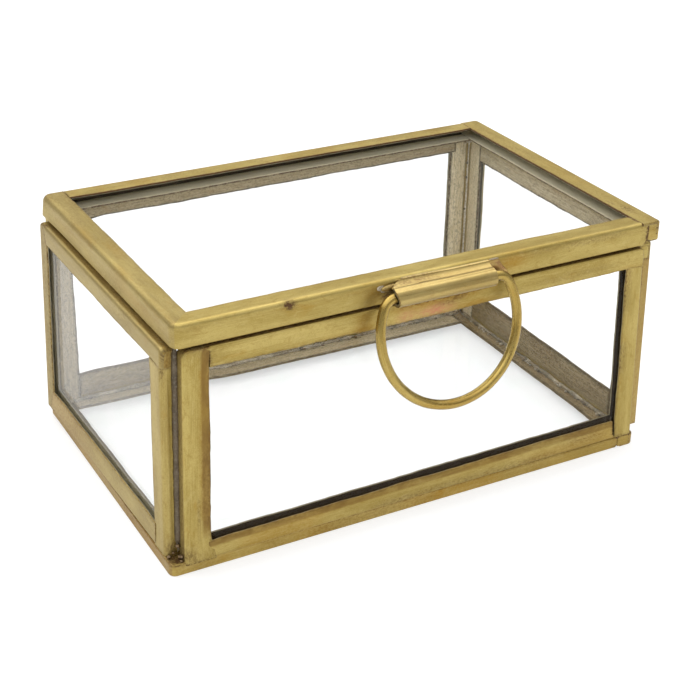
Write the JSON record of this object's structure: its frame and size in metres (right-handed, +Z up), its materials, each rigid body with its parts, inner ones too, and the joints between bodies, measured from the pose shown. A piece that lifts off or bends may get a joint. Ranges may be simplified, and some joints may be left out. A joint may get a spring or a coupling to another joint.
{
  "type": "jewelry box",
  "caption": "Small brass-framed glass jewelry box with a lid hinged at the back and a wire ring pull hanging from a rolled bracket on the lid's front.",
  "frame": {"origin": "on the supporting surface, under the middle of the whole, ring and hinge included", "axes": "+X along the front to the right, +Y to the hinge at the back, +Z up"},
  "size_m": [0.1, 0.075, 0.0473],
  "materials": {
    "brass": "worn folded sheet, satin with tarnish stains",
    "glass": "clear plain sheet glass",
    "solder": "dull grey lumpy solder"
  },
  "bodies": {
    "body": {"front_stile_left": "brass", "front_stile_right": "brass", "front_rail_top": "brass", "front_rail_bottom": "brass", "back_stile_left": "brass", "back_stile_right": "brass", "back_rail_top": "brass", "back_rail_bottom": "brass", "left_stile_front": "brass", "left_stile_back": "brass", "left_rail_top": "brass", "left_rail_bottom": "brass", "right_stile_front": "brass", "right_stile_back": "brass", "right_rail_top": "brass", "right_rail_bottom": "brass", "base_strip_left": "brass", "base_strip_right": "brass", "base_strip_front": "brass", "base_strip_back": "brass", "front_glass": "glass", "back_glass": "glass", "left_glass": "glass", "right_glass": "glass", "base_glass": "glass", "corner_seam_front_left": "solder", "corner_seam_front_right": "solder", "corner_seam_back_right": "solder", "corner_seam_back_left": "solder", "base_seam_front": "solder", "base_seam_back": "solder", "base_seam_left": "solder", "base_seam_right": "solder", "hinge_knuckle_left": "brass", "hinge_knuckle_right": "brass", "hinge_pin": "brass"},
    "lid": {"lid_strip_left": "brass", "lid_strip_right": "brass", "lid_strip_front": "brass", "lid_strip_back": "brass", "lid_glass": "glass", "handle_bracket": "brass", "handle_solder": "solder", "hinge_knuckle_lid": "brass"},
    "ring": {"ring_pull": "brass"}
  },
  "joints": [
    {"name": "lid_hinge", "type": "hinge", "parent": "body", "child": "lid", "pos_m": [0, 0.03605, 0.04265], "axis": [-1, 0, 0], "range_deg": [0, 110]},
    {"name": "ring_swing", "type": "hinge", "parent": "lid", "child": "ring", "pos_m": [0.0018, -0.03175, 0.0447], "axis": [-1, 0, 0], "range_deg": [-13.4, 176.6]}
  ]
}
